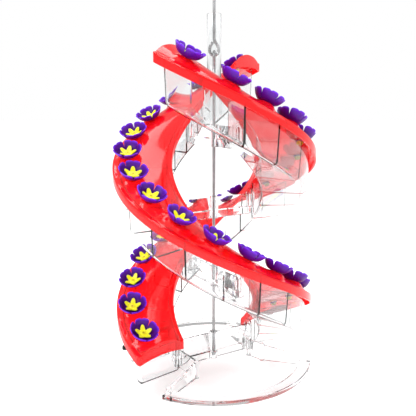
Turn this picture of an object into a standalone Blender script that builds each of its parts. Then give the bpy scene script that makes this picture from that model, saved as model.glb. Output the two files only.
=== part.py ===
"""Hanging nectar feeder: two helical troughs wound round a rod, with red lids and flower ports.

Metres, +Z up. The origin is the point inside the top hook where the feeder hangs, and the
rods lie on the Z axis. Both strands are left-handed helices: they fall as the angle about
+Z grows, and strand b is strand a turned by half a turn.
"""

import math

import bmesh
import bpy
from mathutils import Matrix, Vector

# Overall layout.
HANG_HEIGHT = 0.4900        # from the base's underside up to the hanging point
STAND_Z = -HANG_HEIGHT      # the plane that the base stands on
CURVE_TOP_Z = STAND_Z + 0.3810   # the line of the port rims, at a strand's angle of zero
PITCH = 0.3380              # fall of a strand in one turn
PORT_RADIUS = 0.1000        # from the axis to the centre of a port's rim
PORT_STEP = 360.0 / 17.0    # degrees from one port to the next
PORTS = 16                  # on each strand
FIRST_PORT_LEAD = 4.7       # degrees that the highest port stands nearer its end of the lid
STRANDS = {"a": 240.0, "b": 60.0}   # azimuth of each strand's angle of zero, degrees
SWEEP_STEPS = 40            # stretches in a strand
GAP = 0.0003                # between neighbours
STEP = 0.0003               # between faces of one moulding that would otherwise be flush

# Trough, as radius from the axis and depth below the port line.
TROUGH_OUTER = 0.1105
TROUGH_INNER = 0.0550
TROUGH_OUTER_TOP = -0.0216
TROUGH_INNER_TOP = -0.0212
TROUGH_FLOOR = -0.0695
TROUGH_WALL = 0.0018
TROUGH_DRAFT = 0.0030       # how much nearer the axis the outer wall's foot is
TROUGH_START, TROUGH_END = 2.5, 341.5
DAM_THICKNESS = 0.0020
DAM_TOP = -0.0240
DAM_LAG = 3.2               # degrees that a dam stands past its port

# Lid.
LID_OUTER = 0.1175
LID_INNER = 0.0490
LID_SKIRT_BOTTOM = -0.0300
LID_EDGE = -0.0200          # top of the border round the dome
LID_CROWN = -0.0108
LID_WALL = 0.0020
LID_START, LID_END = -1.4, 345.0

# Feeding port, as radius and height along the port's own axis from its rim.
PETALS = 5
PETAL_TIP = 0.0172
PETAL_NOTCH = 0.0128
NECK_RADIUS = 0.0045
SEAT_DEPTH = -0.0098
NECK_DEPTH = -0.0165
THROAT_RADIUS = 0.0018
PORT_LEAN_OUT = 0.06        # slope of a port's rim away from the axis
PORT_HOLE_RADIUS = 0.0052

# Rods and their eyes.
ROD_RADIUS = 0.00175
EYE_RADIUS = 0.00515        # to the middle of the wire
HANGER_EYE_Z = CURVE_TOP_Z - 0.0105
LINK_CLEARANCE = 2 * ROD_RADIUS + GAP
ROD_EYE_Z = HANGER_EYE_Z - 2 * EYE_RADIUS + LINK_CLEARANCE
ROD_END_Z = STAND_Z + 0.0050
HOOK_INNER = 0.0090
SLEEVE_OUTER, SLEEVE_INNER = 0.0080, 0.0072
SLEEVE_TOP_Z = CURVE_TOP_Z + 0.0290
SLEEVE_BOTTOM_Z = CURVE_TOP_Z - 0.0480

# Bridges between the strands.
BRIDGE_ANGLES = {"bridge_upper": 61.2, "bridge_middle": 151.2, "bridge_lower": 241.2}
BASE_ANGLE = 331.2
WEB_TOP, WEB_BOTTOM = -0.0365, -0.0610     # below the port line
WEB_THICKNESS = 0.0024
RAIL_THICKNESS, RAIL_HEIGHT = 0.0050, 0.0095
HUB_RADIUS, HUB_BORE = 0.0053, 0.00215
PLATE_INNER, PLATE_OUTER = 0.0515, 0.0535  # the end plate's two faces
PLATE_WIDTH = 0.0150
PLATE_TOP = -0.0305
WINDOW_WIDTH, WINDOW_TOP, WINDOW_BOTTOM = 0.0080, -0.0345, -0.0540
LUG_WIDTH, LUG_TOP, LUG_BOTTOM = 0.0070, -0.0380, -0.0535
LUG_REACH = 0.0524

# Base stand.
FOOT_OUTER, FOOT_INNER, FOOT_HEIGHT = 0.1187, 0.1045, 0.0058
FOOT_START, FOOT_END = 242.0, 350.0
WALL_THICKNESS = 0.0030
CORNER_HEIGHT, SHOULDER_HEIGHT = 0.0105, 0.0210
KNOB_RADIUS = 0.0032
NUT_FLATS, NUT_HEIGHT = 0.0070, 0.0032
NUT_POCKET_RADIUS = 0.0044
NUT_POCKET_DEPTH = 0.0095

COLOURS = {
    "red_lid": ((0.80, 0.02, 0.02, 1.0), 0.18, 0.0),
    "clear_plastic": ((0.92, 0.94, 0.95, 0.35), 0.05, 0.0),
    "violet_plastic": ((0.12, 0.02, 0.45, 1.0), 0.35, 0.0),
    "steel": ((0.55, 0.55, 0.56, 1.0), 0.25, 1.0),
}


def clear_scene():
    for thing in list(bpy.data.objects):
        bpy.data.objects.remove(thing, do_unlink=True)


def make_collection(name):
    collection = bpy.data.collections.new(name)
    bpy.context.scene.collection.children.link(collection)
    return collection


clear_scene()
PARTS = make_collection("nectar_feeder")
CUTTERS = make_collection("cutters")


def make_material(name):
    colour, roughness, metallic = COLOURS[name]
    material = bpy.data.materials.new(name)
    material.use_nodes = True
    shader = material.node_tree.nodes["Principled BSDF"]
    shader.inputs["Base Color"].default_value = colour
    shader.inputs["Roughness"].default_value = roughness
    shader.inputs["Metallic"].default_value = metallic
    shader.inputs["Alpha"].default_value = colour[3]
    return material


MATERIALS = {name: make_material(name) for name in COLOURS}


# ---------------------------------------------------------------- helpers


def object_from_bmesh(name, shape, collection=CUTTERS):
    """A new object holding this bmesh, hidden while it is only a helper."""
    bmesh.ops.recalc_face_normals(shape, faces=shape.faces)
    mesh = bpy.data.meshes.new(name)
    shape.to_mesh(mesh)
    shape.free()
    thing = bpy.data.objects.new(name, mesh)
    collection.objects.link(thing)
    thing.hide_render = collection is CUTTERS
    thing.display_type = "WIRE" if collection is CUTTERS else "TEXTURED"
    return thing


def applied_mesh(thing):
    """The object's mesh with its modifiers applied, in world space."""
    graph = bpy.context.evaluated_depsgraph_get()
    mesh = bpy.data.meshes.new_from_object(thing.evaluated_get(graph))
    mesh.transform(thing.matrix_world)
    return mesh


def helper(name, mesh):
    thing = bpy.data.objects.new(name, mesh)
    CUTTERS.objects.link(thing)
    thing.hide_render = True
    thing.display_type = "WIRE"
    return thing


def boolean(thing, others, operation):
    """Applies one exact Boolean with each of the others in turn, and returns the new mesh."""
    for other in others:
        modifier = thing.modifiers.new(other.name, "BOOLEAN")
        modifier.operation = operation
        modifier.solver = "EXACT"
        modifier.object = other
    bpy.context.view_layer.update()
    mesh = applied_mesh(thing)
    for used in [thing, *others]:
        bpy.data.objects.remove(used, do_unlink=True)
    return mesh


def joined(name, pieces):
    return helper(name, boolean(pieces[0], pieces[1:], "UNION"))


def cut(name, thing, cutters):
    return helper(name, boolean(thing, cutters, "DIFFERENCE"))


def add_part(name, mesh, material, matrix=None):
    """Places a finished mesh as a named part."""
    if not mesh.materials:
        mesh.materials.append(MATERIALS[material])
    mesh.shade_smooth()
    mesh.set_sharp_from_angle(angle=math.radians(35))
    thing = bpy.data.objects.new(name, mesh)
    PARTS.objects.link(thing)
    if matrix is not None:
        thing.matrix_world = matrix
    return thing


def take_mesh(thing):
    """The mesh of a helper object, in world space, and the helper removed."""
    mesh = thing.data
    mesh.transform(thing.matrix_world)
    bpy.data.objects.remove(thing, do_unlink=True)
    return mesh


def box(name, low, high, matrix=None):
    shape = bmesh.new()
    size = Vector(high) - Vector(low)
    middle = (Vector(high) + Vector(low)) / 2
    placing = Matrix.Translation(middle) @ Matrix.Diagonal((*size, 1.0))
    bmesh.ops.create_cube(shape, size=1.0, matrix=placing)
    if matrix is not None:
        bmesh.ops.transform(shape, matrix=matrix, verts=shape.verts)
    return object_from_bmesh(name, shape)


def cylinder(name, radius, low, high, sides=20, centre=(0.0, 0.0)):
    shape = bmesh.new()
    placing = Matrix.Translation((centre[0], centre[1], (low + high) / 2))
    bmesh.ops.create_cone(
        shape, cap_ends=True, segments=sides, radius1=radius, radius2=radius,
        depth=high - low, matrix=placing,
    )
    return object_from_bmesh(name, shape)


def prism(name, outline, low, high, matrix=None):
    """A prism over a closed outline of (x, y) points, from one height to another, then placed."""
    shape = bmesh.new()
    ring = [shape.verts.new((x, y, low)) for x, y in outline]
    face = shape.faces.new(ring)
    grown = bmesh.ops.extrude_face_region(shape, geom=[face])
    raised = [item for item in grown["geom"] if isinstance(item, bmesh.types.BMVert)]
    bmesh.ops.translate(shape, vec=(0, 0, high - low), verts=raised)
    if matrix is not None:
        bmesh.ops.transform(shape, matrix=matrix, verts=shape.verts)
    return object_from_bmesh(name, shape)


def polar(radius, azimuth, z=0.0):
    turn = math.radians(azimuth)
    return Vector((radius * math.cos(turn), radius * math.sin(turn), z))


def curve_z(angle):
    """Height of the port line at a strand's own angle, in degrees."""
    return CURVE_TOP_Z - PITCH * angle / 360.0


def turned(azimuth):
    return Matrix.Rotation(math.radians(azimuth), 4, "Z")


# ---------------------------------------------------------------- helical shells


def helical_shell(name, profile, start, end, wall):
    """Sweeps an open profile of (radius, depth) points down the helix, shuts both ends, and
    thickens it towards the inside of the channel."""
    shape = bmesh.new()
    points = [polar(radius, start, curve_z(start) + depth) for radius, depth in profile]
    ring = [shape.verts.new(point) for point in points]
    edges = [shape.edges.new(pair) for pair in zip(ring, ring[1:])]
    span = end - start
    bmesh.ops.spin(
        shape, geom=ring + edges, cent=(0, 0, 0), axis=(0, 0, 1),
        dvec=(0, 0, -PITCH * span / 360.0 / SWEEP_STEPS),
        angle=math.radians(span), steps=SWEEP_STEPS, use_duplicate=False,
    )
    shape.verts.ensure_lookup_table()
    count = len(profile)
    shape.faces.new(shape.verts[:count])
    shape.faces.new(shape.verts[-count:])
    for vert in shape.verts:
        vert.co.z = max(vert.co.z, STAND_Z)
    thing = object_from_bmesh(name, shape)
    solidify = thing.modifiers.new("wall", "SOLIDIFY")
    solidify.thickness = wall
    solidify.offset = -1.0
    solidify.use_even_offset = True
    bpy.context.view_layer.update()
    mesh = applied_mesh(thing)
    bpy.data.objects.remove(thing, do_unlink=True)
    return helper(name, mesh)


def radial_box(name, angle, radii, depths, width):
    """A block on the radius at this angle, its depths measured from the port line there."""
    z = curve_z(angle)
    low = (radii[0], -width / 2, z + depths[0])
    high = (radii[1], width / 2, z + depths[1])
    return box(name, low, high, turned(angle))


def trough_mesh():
    corner = 0.0030
    profile = [
        (TROUGH_INNER, TROUGH_INNER_TOP),
        (TROUGH_INNER, TROUGH_FLOOR + corner),
        (TROUGH_INNER + corner, TROUGH_FLOOR),
        (TROUGH_OUTER - TROUGH_DRAFT - corner, TROUGH_FLOOR),
        (TROUGH_OUTER - TROUGH_DRAFT, TROUGH_FLOOR + corner),
        (TROUGH_OUTER, TROUGH_OUTER_TOP),
    ]
    shell = helical_shell("trough", profile, TROUGH_START, TROUGH_END, TROUGH_WALL)
    inset = TROUGH_WALL / 2
    radii = (TROUGH_INNER + inset, TROUGH_OUTER - TROUGH_DRAFT - inset)
    pieces = [shell]
    for index in range(1, PORTS):
        angle = index * PORT_STEP + DAM_LAG
        depths = (TROUGH_FLOOR + inset, DAM_TOP)
        pieces.append(radial_box(f"dam_{index}", angle, radii, depths, DAM_THICKNESS))
    for index, angle in enumerate([*BRIDGE_ANGLES.values(), BASE_ANGLE]):
        reach = (LUG_REACH, TROUGH_INNER + inset)
        depths = (LUG_BOTTOM, LUG_TOP)
        pieces.append(radial_box(f"lug_{index}", angle, reach, depths, LUG_WIDTH))
    return take_mesh(joined("trough_whole", pieces))


def port_angle(index):
    return index * PORT_STEP - (FIRST_PORT_LEAD if index == 1 else 0.0)


def port_matrix(index):
    """Where a port stands on a strand: its origin in the middle of the rim, +Z out of the cup."""
    angle = port_angle(index)
    fall = PITCH / (2 * math.pi)
    normal = Vector((PORT_LEAN_OUT * PORT_RADIUS, fall, PORT_RADIUS)).normalized()
    radial = Vector((1, 0, 0))
    across = normal.cross(radial).normalized()
    along = across.cross(normal)
    axes = Matrix((along, across, normal)).transposed().to_4x4()
    rim = Vector((PORT_RADIUS, 0, curve_z(angle)))
    return turned(angle) @ Matrix.Translation(rim) @ axes


def lid_mesh():
    dome_edge = 0.1110
    profile = [
        (LID_OUTER, LID_SKIRT_BOTTOM),
        (LID_OUTER, LID_EDGE),
        (dome_edge, LID_EDGE + 0.0012),
        (0.0990, -0.0136),
        (0.0830, LID_CROWN),
        (0.0650, -0.0119),
        (LID_INNER + 0.0030, LID_EDGE + 0.0024),
        (LID_INNER, LID_EDGE - 0.0010),
        (LID_INNER, LID_SKIRT_BOTTOM + 0.0020),
    ]
    shell = helical_shell("lid", profile, LID_START, LID_END, LID_WALL)
    holes = []
    for index in range(1, PORTS + 1):
        hole = cylinder(f"hole_{index}", PORT_HOLE_RADIUS, -0.0250, -0.0050, 8)
        hole.matrix_world = port_matrix(index)
        holes.append(hole)
    return take_mesh(cut("lid_whole", shell, holes))


def port_mesh():
    """A petalled cup on a hollow neck, turned about its own axis."""
    profile = [
        (NECK_RADIUS, NECK_DEPTH),
        (NECK_RADIUS, SEAT_DEPTH),
        (None, 0.0),
        (None, 0.0006),
        (THROAT_RADIUS, SEAT_DEPTH + 0.0012),
        (THROAT_RADIUS, NECK_DEPTH),
    ]
    rim_wall = 0.0014
    columns = 2 * PETALS
    shape = bmesh.new()
    rings = []
    for place, (radius, height) in enumerate(profile):
        ring = []
        for column in range(columns):
            edge = PETAL_TIP if column % 2 == 0 else PETAL_NOTCH
            here = radius if radius is not None else edge - rim_wall * (place - 2)
            ring.append(shape.verts.new(polar(here, 360.0 * column / columns, height)))
        rings.append(ring)
    for lower, upper in zip(rings, rings[1:] + rings[:1]):
        for column in range(columns):
            after = (column + 1) % columns
            shape.faces.new((lower[column], lower[after], upper[after], upper[column]))
    thing = object_from_bmesh("port", shape)
    return take_mesh(thing)


def add_strand_parts():
    trough = trough_mesh()
    lid = lid_mesh()
    port = port_mesh()
    for strand, azimuth in STRANDS.items():
        add_part(f"trough_{strand}", trough, "clear_plastic", turned(azimuth))
        add_part(f"lid_{strand}", lid, "red_lid", turned(azimuth))
        for index in range(1, PORTS + 1):
            matrix = turned(azimuth) @ port_matrix(index)
            add_part(f"feeding_port_{strand}_{index:02d}", port, "violet_plastic", matrix)


# ---------------------------------------------------------------- bridges and base


def facing_out(azimuth):
    """Turns local x to the sideways direction, y to up and z to outwards at this azimuth."""
    axes = Matrix(((0, 0, 1), (1, 0, 0), (0, 1, 0))).to_4x4()
    return turned(azimuth) @ axes


def end_plate(name, azimuth, z, bottom):
    """The arched plate at one end of a bridge, with the window that a trough's lug sits in."""
    radius = PLATE_WIDTH / 2
    spring = z + PLATE_TOP - radius
    outline = [(-radius, bottom), (radius, bottom)]
    for step in range(13):
        turn = math.pi * step / 12
        outline.append((radius * math.cos(turn), spring + radius * math.sin(turn)))
    plate = prism(name, outline, PLATE_INNER, PLATE_OUTER, facing_out(azimuth))
    half = WINDOW_WIDTH / 2
    deep = (PLATE_INNER - 0.002, -half, z + WINDOW_BOTTOM)
    far = (PLATE_OUTER + 0.002, half, z + WINDOW_TOP)
    return cut(name, plate, [box("window", deep, far, turned(azimuth))])


def bridge_pieces(angle, bottom):
    """The web with its rail, the hub and the end plates that join the two strands."""
    z = curve_z(angle)
    azimuth = STRANDS["a"] + angle
    reach = PLATE_INNER + 0.0005
    half, rail = WEB_THICKNESS / 2, RAIL_THICKNESS / 2
    shelf, top = bottom + RAIL_HEIGHT, z + WEB_TOP
    section = [
        (-rail, bottom), (rail, bottom), (rail, shelf), (half, shelf),
        (half, top), (-half, top), (-half, shelf), (-rail, shelf),
    ]
    return [
        prism("web", section, -reach, reach, facing_out(azimuth)),
        cylinder("hub", HUB_RADIUS, bottom - STEP, top + 0.0010),
        end_plate("plate_near", azimuth, z, bottom + STEP),
        end_plate("plate_far", azimuth + 180.0, z, bottom + STEP),
    ]


def add_bridges():
    for name, angle in BRIDGE_ANGLES.items():
        bottom = curve_z(angle) + WEB_BOTTOM
        solid = joined("bridge", bridge_pieces(angle, bottom))
        bore = cylinder("bore", HUB_BORE, bottom - 0.005, curve_z(angle), 16)
        add_part(name, take_mesh(cut("bridge_bored", solid, [bore])), "clear_plastic")


def sloping_wall(name, start, end, heights):
    """A straight upright wall between two points, its top running between two heights."""
    along = Vector((end[0] - start[0], end[1] - start[1]))
    side = Vector((-along.y, along.x)).normalized() * WALL_THICKNESS / 2
    shape = bmesh.new()
    bmesh.ops.create_cube(shape, size=1.0)
    for vert in shape.verts:
        far = vert.co.x > 0
        place = Vector((end if far else start))
        place = place + (side if vert.co.y > 0 else -side)
        top = heights[1] if far else heights[0]
        z = STAND_Z + (top if vert.co.z > 0 else 2 * STEP)
        vert.co = (place.x, place.y, z)
    return object_from_bmesh(name, shape)


def foot_band(name):
    """The flat curved foot, a rectangle spun about the axis."""
    shape = bmesh.new()
    low, high = STAND_Z, STAND_Z + FOOT_HEIGHT
    corners = [(FOOT_INNER, low), (FOOT_OUTER, low), (FOOT_OUTER, high), (FOOT_INNER, high)]
    ring = [shape.verts.new(polar(radius, FOOT_START, z)) for radius, z in corners]
    edges = [shape.edges.new(pair) for pair in zip(ring, ring[1:] + ring[:1])]
    bmesh.ops.spin(
        shape, geom=ring + edges, cent=(0, 0, 0), axis=(0, 0, 1),
        angle=math.radians(FOOT_END - FOOT_START), steps=15, use_duplicate=False,
    )
    shape.verts.ensure_lookup_table()
    shape.faces.new(shape.verts[:4])
    shape.faces.new(shape.verts[-4:])
    return object_from_bmesh(name, shape)


def wing_pieces(half_turn):
    """One foot with the walls that join it to the two ends of the base's web."""
    web_azimuth = STRANDS["a"] + BASE_ANGLE - 360.0
    middle = (FOOT_INNER + FOOT_OUTER) / 2
    left_corner = polar(middle, FOOT_START + 2.0)
    left_shoulder = polar(0.0590, 250.0)
    left_web = polar(0.0500, web_azimuth + 3.0)
    right_corner = polar(middle, FOOT_END - 1.5)
    right_shoulder = polar(0.0600, 352.0)
    right_elbow = polar(0.0440, 8.0)
    right_web = polar(0.0430, web_azimuth + 180.0 - 2.0)
    corner, shoulder = CORNER_HEIGHT, SHOULDER_HEIGHT
    runs = [
        (left_corner, left_shoulder, (corner, shoulder)),
        (left_shoulder, left_web, (shoulder, shoulder + 0.0015)),
        (right_corner, right_shoulder, (corner, shoulder)),
        (right_shoulder, right_elbow, (shoulder, shoulder + 0.0010)),
        (right_elbow, right_web, (shoulder + 0.0010, shoulder + 0.0020)),
    ]
    pieces = [foot_band("foot")]
    for number, (start, end, heights) in enumerate(runs):
        pieces.append(sloping_wall(f"wall_{number}", start.xy, end.xy, heights))
    knobs = [
        (left_corner, corner), (left_shoulder, shoulder),
        (right_corner, corner), (right_shoulder, shoulder), (right_elbow, shoulder),
    ]
    for number, (place, height) in enumerate(knobs):
        top = STAND_Z + height + 0.0012
        low = STAND_Z + STEP
        pieces.append(cylinder(f"knob_{number}", KNOB_RADIUS, low, top, 12, place.xy))
    for piece in pieces:
        piece.data.transform(turned(half_turn))
    return pieces


def add_base():
    solid = joined("base", bridge_pieces(BASE_ANGLE, STAND_Z + 3 * STEP))
    for half_turn in (0.0, 180.0):
        solid = joined("base", [solid, *wing_pieces(half_turn)])
    bore = cylinder("bore", HUB_BORE, STAND_Z - 0.005, curve_z(BASE_ANGLE), 16)
    pocket = cylinder(
        "pocket", NUT_POCKET_RADIUS, STAND_Z - 0.005, STAND_Z + NUT_POCKET_DEPTH, 6
    )
    add_part("base_stand", take_mesh(cut("base", solid, [bore, pocket])), "clear_plastic")


# ---------------------------------------------------------------- rods, nut and sleeve


def eye(name, z, facing):
    """A closed ring of wire about a point on the axis, its hole facing X or Y."""
    bpy.ops.mesh.primitive_torus_add(
        major_segments=24, minor_segments=8, major_radius=EYE_RADIUS, minor_radius=ROD_RADIUS,
        location=(0, 0, z), rotation=(math.pi / 2, 0, math.pi / 2 if facing == "X" else 0),
    )
    ring = bpy.context.object
    bpy.context.view_layer.update()
    mesh = applied_mesh(ring)
    bpy.data.objects.remove(ring, do_unlink=True)
    return helper(name, mesh)


def arc_points(centre, radius, start, end, count):
    """Points in the XZ plane round a centre, from one angle to another, in degrees."""
    points = []
    for step in range(count):
        turn = math.radians(start + (end - start) * step / (count - 1))
        points.append(Vector((centre[0] + radius * math.cos(turn), 0,
                              centre[1] + radius * math.sin(turn))))
    return points


def wire(name, points, radius):
    curve = bpy.data.curves.new(name, "CURVE")
    curve.dimensions = "3D"
    curve.bevel_depth = radius
    curve.bevel_resolution = 2
    curve.use_fill_caps = True
    spline = curve.splines.new("POLY")
    spline.points.add(len(points) - 1)
    for place, point in zip(spline.points, points):
        place.co = (*point, 1.0)
    thing = bpy.data.objects.new(name, curve)
    CUTTERS.objects.link(thing)
    bpy.context.view_layer.update()
    mesh = applied_mesh(thing)
    bpy.data.objects.remove(thing, do_unlink=True)
    shape = bmesh.new()
    shape.from_mesh(mesh)
    bmesh.ops.remove_doubles(shape, verts=shape.verts, dist=1e-6)
    return object_from_bmesh(name, shape)


def add_hanger_rod():
    """The hanging wire: an eye below, a straight shank, and an open hook whose inside top is
    the hanging point."""
    middle = HOOK_INNER + ROD_RADIUS
    centre = (0.0, -HOOK_INNER)
    bend = middle / 2
    bend_z = -HOOK_INNER - math.sqrt(3.0) * bend * 1.9
    shank = [Vector((0, 0, HANGER_EYE_Z + EYE_RADIUS)), Vector((0, 0, bend_z - 0.004))]
    lean = [Vector((bend * 0.15, 0, bend_z)), Vector((bend * 1.1, 0, bend_z + 0.0065))]
    hook = arc_points(centre, middle, -38.0, 205.0, 18)
    solid = joined("hanger", [wire("hook", shank + lean + hook, ROD_RADIUS),
                              eye("hanger_eye", HANGER_EYE_Z, "Y")])
    add_part("hanger_rod", take_mesh(solid), "steel")


def add_central_rod():
    shank = cylinder("shank", ROD_RADIUS, ROD_END_Z, ROD_EYE_Z - EYE_RADIUS, 12)
    solid = joined("rod", [shank, eye("rod_eye", ROD_EYE_Z, "X")])
    add_part("central_rod", take_mesh(solid), "steel")


def add_rod_nut():
    across_corners = NUT_FLATS / math.sqrt(3.0)
    top = STAND_Z + NUT_POCKET_DEPTH - GAP
    nut = cylinder("nut", across_corners, top - NUT_HEIGHT, top, 6)
    bore = cylinder("bore", HUB_BORE, top - 0.01, top + 0.01, 16)
    add_part("rod_nut", take_mesh(cut("nut", nut, [bore])), "steel")


def add_link_sleeve():
    tube = cylinder("tube", SLEEVE_OUTER, SLEEVE_BOTTOM_Z, SLEEVE_TOP_Z, 24)
    bore = cylinder("bore", SLEEVE_INNER, SLEEVE_BOTTOM_Z - 0.01, SLEEVE_TOP_Z + 0.01, 24)
    add_part("link_sleeve", take_mesh(cut("tube", tube, [bore])), "clear_plastic")


add_strand_parts()
add_bridges()
add_base()
add_hanger_rod()
add_central_rod()
add_rod_nut()
add_link_sleeve()
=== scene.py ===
"""Looks of the hanging nectar feeder: clear helical troughs, red lids, violet flower ports.

Metres, +Z up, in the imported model's own frame. Both strands are left-handed helices about
the Z axis, and strand b is strand a turned by half a turn.
"""

import math

import bmesh
import bpy
from mathutils import Matrix, Vector


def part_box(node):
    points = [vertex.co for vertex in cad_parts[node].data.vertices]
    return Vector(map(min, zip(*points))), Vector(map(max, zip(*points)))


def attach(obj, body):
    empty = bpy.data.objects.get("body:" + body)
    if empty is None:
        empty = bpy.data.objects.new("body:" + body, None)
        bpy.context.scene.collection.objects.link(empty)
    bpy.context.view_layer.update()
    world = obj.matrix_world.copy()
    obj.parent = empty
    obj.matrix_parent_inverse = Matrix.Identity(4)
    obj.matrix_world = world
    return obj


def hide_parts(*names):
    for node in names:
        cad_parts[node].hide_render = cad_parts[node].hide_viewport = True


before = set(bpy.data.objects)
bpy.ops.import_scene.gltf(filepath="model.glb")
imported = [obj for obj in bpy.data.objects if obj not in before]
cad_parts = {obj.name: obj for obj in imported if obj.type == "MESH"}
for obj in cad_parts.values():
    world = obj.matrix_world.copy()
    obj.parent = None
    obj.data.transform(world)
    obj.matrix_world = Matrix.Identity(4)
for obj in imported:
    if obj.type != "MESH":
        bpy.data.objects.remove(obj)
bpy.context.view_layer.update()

# Layout, worked out from the frame.
STAND_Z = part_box("base_stand")[0].z
CURVE_TOP_Z = STAND_Z + 0.3810      # the line of the port rims, at a strand's angle of zero
PITCH = 0.3380                      # fall of a strand in one turn
PORT_RADIUS = 0.1000
MIDDLE_RADIUS = 0.0830              # of a strand, to turn a length along it into degrees
PORT_STEP = 360.0 / 17.0
PORTS = 16                          # on each lid
FIRST_PORT_LEAD = 4.7               # degrees that the highest port stands nearer the lid's end
PORT_LEAN_OUT = 0.06                # slope of the ports' axes away from the rod
STRANDS = {"a": 240.0, "b": 60.0}   # the azimuth at which each strand's angle is zero
DEGREES_A_STEP = 1.5                # fineness of the helical surfaces
FAR_FROM_END = 1.0                  # a distance that no rounding of an end reaches
NEAR_ZERO = 1e-6                    # a radius, or a gap, that counts as none
MERGE_DISTANCE = 1e-5               # vertices of a turned shape that are nearer become one
BEVEL_SEGMENTS, BEVEL_ANGLE = 2, 50.0

# Lid: the section runs from a side to the middle, as (inset from the side, height over the
# port line). A boss is the low cone under a port, and its numbers are about the port's axis.
LID_OUTER, LID_INNER = 0.1175, 0.0490
LID_START, LID_END = -1.4, 345.0
LID_CORNER, LID_END_ROUND = 0.0030, 0.0010
LID_NEAR_END = [0.0, 0.0001, 0.0003, 0.0006, 0.0010, 0.0016, 0.0023, 0.0030, 0.0042]
LID_END_GAP = 2.5                   # steps from an end to the first evenly spaced section
LID_END_ARCH = 0.0035               # rise of the end walls' lower edges in the middle
LID_END_STEPS = 16
LID_SKIRT = -0.0300
BORDER_FOOT, BORDER_TOP = -0.0214, -0.0200    # heights over which an end's rounding sets in
LID_WALL = 0.0018
LID_SECTION = [
    (0.0, LID_SKIRT), (0.0, -0.0252), (0.0, -0.0212), (0.00025, -0.0204), (0.0009, -0.0200),
    (0.0024, -0.0198), (0.0046, -0.0197), (0.0052, -0.0195), (0.0057, -0.0188),
    (0.0066, -0.0183), (0.0083, -0.0173), (0.0100, -0.0163), (0.0117, -0.0155),
    (0.0134, -0.0147), (0.0151, -0.0140), (0.0168, -0.0134), (0.0185, -0.0129),
    (0.0202, -0.0125), (0.0222, -0.0121), (0.0246, -0.0117), (0.0275, -0.0113),
    (0.0308, -0.0110), (0.03425, -0.0109),
]
BOSS_TOP, BOSS_RADIUS, BOSS_SLOPE = -0.0104, 0.0095, 1.10
BOSS_BLEND = 0.0009
BOSS_REACH, BOSS_FOOT = 0.0240, -0.0200
HOLE_RADIUS, HOLE_BOTTOM, HOLE_TOP = 0.0046, -0.0300, -0.0040
HOLE_SIDES = 20

# Trough, with heights over the port line. A dam lags the port above it by some degrees.
TROUGH_OUTER, TROUGH_INNER = 0.1105, 0.0550
TROUGH_RIM, TROUGH_FLOOR = -0.0220, -0.0695
TROUGH_WALL = 0.0018
TROUGH_DRAFT = 0.0030               # how much nearer the axis the outer wall's foot is
TROUGH_END_ROUND = 0.0025
TROUGH_NEAR_END = [0.0, 0.0002, 0.0006, 0.0012, 0.0018, 0.0025]
TROUGH_END_GAP = 2.0                # steps from an end to the first evenly spaced section
TROUGH_START_DIP = 0.0030           # how much lower the rim is at the upper end
TROUGH_DIP_FOOT = -0.0350           # the height at which that dip has faded out
FLOOR_ROUND_TOP, FLOOR_ROUND_FOOT = 0.0500, 0.0660    # depths over which an end lifts the floor
TROUGH_START, TROUGH_END = 2.5, 341.5
OUTER_CORNER, INNER_CORNER = 0.0065, 0.0030
DAM_THICKNESS, DAM_TOP, DAM_LAG = 0.0020, -0.0240, 3.2
LUG_WIDTH, LUG_TOP, LUG_BOTTOM, LUG_REACH = 0.0070, -0.0380, -0.0535, 0.0524

# Flower port and its star, about the port's own axis, heights from the rim.
PETALS = 5
PETAL_TIP = 0.0172
PETAL_COLUMNS, PETAL_ROWS = 22, 13
SLIT_DEPTH, SLIT_POWER = 0.50, 13   # the slit between two petals, as a share of the cup
DIP_DEPTH, DIP_WIDTH = 0.085, 0.13  # the notch in the middle of a petal's tip
PETAL_SWELL, PETAL_CURL = 0.020, 0.0004
CUP_WALL, CUP_EDGE = 0.0011, 0.0003
CUP_FLOOR_Z = -0.0105
NECK_RADIUS, NECK_BORE, NECK_DEPTH = 0.0045, 0.0036, -0.0135
COLLAR_RADIUS, COLLAR_LOW, COLLAR_HIGH = 0.0062, -0.0099, -0.0090
VEINS = 45.0                        # waves of the petals' veins in a turn
STAR_COLUMNS, STAR_ROWS = 14, 9
STAR_HOLE, STAR_VALLEY, STAR_TIP = 0.0008, 0.0058, 0.0102
STAR_Z, STAR_SHARPNESS = -0.0075, 1.15
LIP_HEIGHT, LIP_RADIUS, LIP_WIDTH = 0.0008, 0.0017, 0.0009        # ring round the hole
CLIMB_HEIGHT, CLIMB_START, CLIMB_END = 0.0031, 0.0045, 0.0105     # rise up the petals
RIDGE_HEIGHT, RIDGE_START, RIDGE_END = 0.0004, 0.0020, 0.0060     # along each point
STAR_WALL, STAR_EDGE = 0.0009, 0.0002
STEM_RADIUS, STEM_HOLE, STEM_EDGE = 0.0034, 0.0009, 0.0009
STEM_FOOT_RADIUS, STEM_TOP, STEM_DEPTH = 0.0026, -0.0080, -0.0165

# Rods, sleeve and nut.
ROD_RADIUS = 0.00175
EYE_RADIUS = 0.00515
HANGER_EYE_Z = CURVE_TOP_Z - 0.0105
ROD_EYE_Z = HANGER_EYE_Z - 2 * EYE_RADIUS + 2 * ROD_RADIUS + 0.0003
ROD_END_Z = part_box("central_rod")[0].z
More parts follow.
